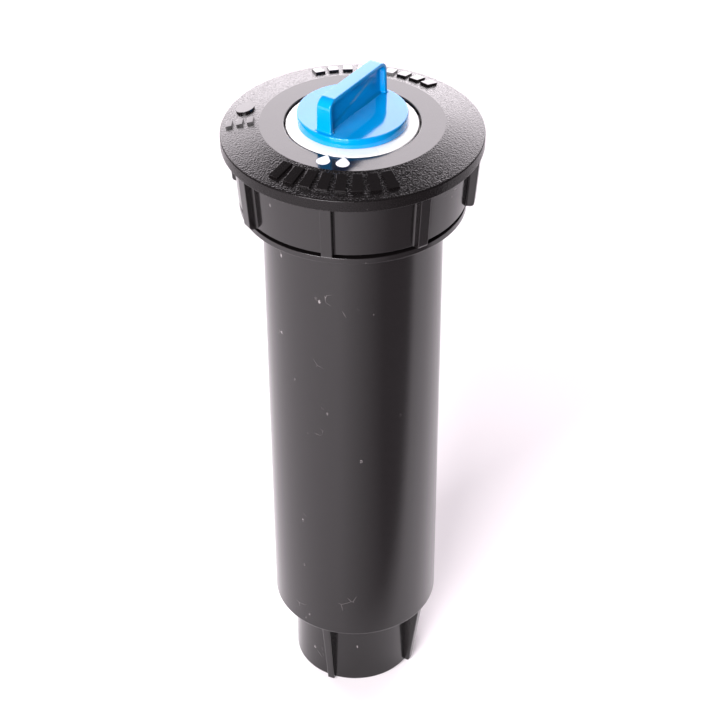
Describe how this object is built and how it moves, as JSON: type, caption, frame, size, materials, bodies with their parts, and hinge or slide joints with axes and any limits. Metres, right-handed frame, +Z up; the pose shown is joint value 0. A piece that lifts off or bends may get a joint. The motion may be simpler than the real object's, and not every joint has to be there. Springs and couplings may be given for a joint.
{
  "type": "pop-up sprinkler",
  "caption": "Pop-up spray sprinkler body: ribbed screw cap, spring-loaded riser with a turning ratchet, inner check valve, screw-in flush plug with a bar handle, and a female threaded inlet.",
  "frame": {"origin": "centre of the inlet's bottom face, on the sprinkler's axis", "axes": "+Z up along the axis, from the inlet to the cap; -Y is the front"},
  "size_m": [0.057, 0.057, 0.1656],
  "materials": {
    "case": "moulded black plastic, satin, slightly warm",
    "cap": "moulded black plastic with a fine grain on the cone and rim",
    "riser": "smooth white plastic",
    "plug": "semi-gloss blue plastic",
    "inner_plastic": "moulded grey plastic",
    "natural_plastic": "uncoloured acetal",
    "seal_rubber": "soft black rubber",
    "spring_steel": "stainless spring wire"
  },
  "bodies": {
    "case": {"case_body": "case"},
    "cap_carrier": {"spring_seat": "natural_plastic", "retract_spring": "spring_steel"},
    "cap": {"cap_shell": "cap", "wiper_seal": "seal_rubber", "seal_support_ring": "natural_plastic"},
    "riser_base": {"riser_guide": "inner_plastic"},
    "riser": {"riser_stem": "riser", "ratchet_ring": "inner_plastic", "check_valve_retainer": "inner_plastic", "check_valve_seal": "seal_rubber"},
    "filter": {"filter_screen": "inner_plastic"},
    "plug": {"flush_plug": "plug"}
  },
  "joints": [
    {"name": "cap_lift", "type": "slide", "parent": "case", "child": "cap_carrier", "axis": [0, 0, 1], "range_m": [0, 0.0075]},
    {"name": "cap_turn", "type": "hinge", "parent": "cap_carrier", "child": "cap", "pos_m": [0, 0, 0.1537], "axis": [0, 0, 1], "range_deg": [0, 901]},
    {"name": "riser_slide", "type": "slide", "parent": "cap_carrier", "child": "riser_base", "axis": [0, 0, 1], "range_m": [0, 0.1], "stiffness_N_per_m": 250, "springref_m": -0.06, "deforming": ["retract_spring"]},
    {"name": "riser_turn", "type": "hinge", "parent": "riser_base", "child": "riser", "pos_m": [0, 0, 0.0296], "axis": [0, 0, 1], "continuous": true},
    {"name": "plug_lift", "type": "slide", "parent": "riser", "child": "filter", "axis": [0, 0, 1], "range_m": [0, 0.00775]},
    {"name": "plug_turn", "type": "hinge", "parent": "filter", "child": "plug", "pos_m": [0, 0, 0.1568], "axis": [0, 0, 1], "range_deg": [0, 1117]}
  ],
  "couplings": [
    {"joint": "cap_turn", "follows": "cap_lift", "rad_per_m": 2094.4},
    {"joint": "plug_turn", "follows": "plug_lift", "rad_per_m": 2513.3}
  ]
}
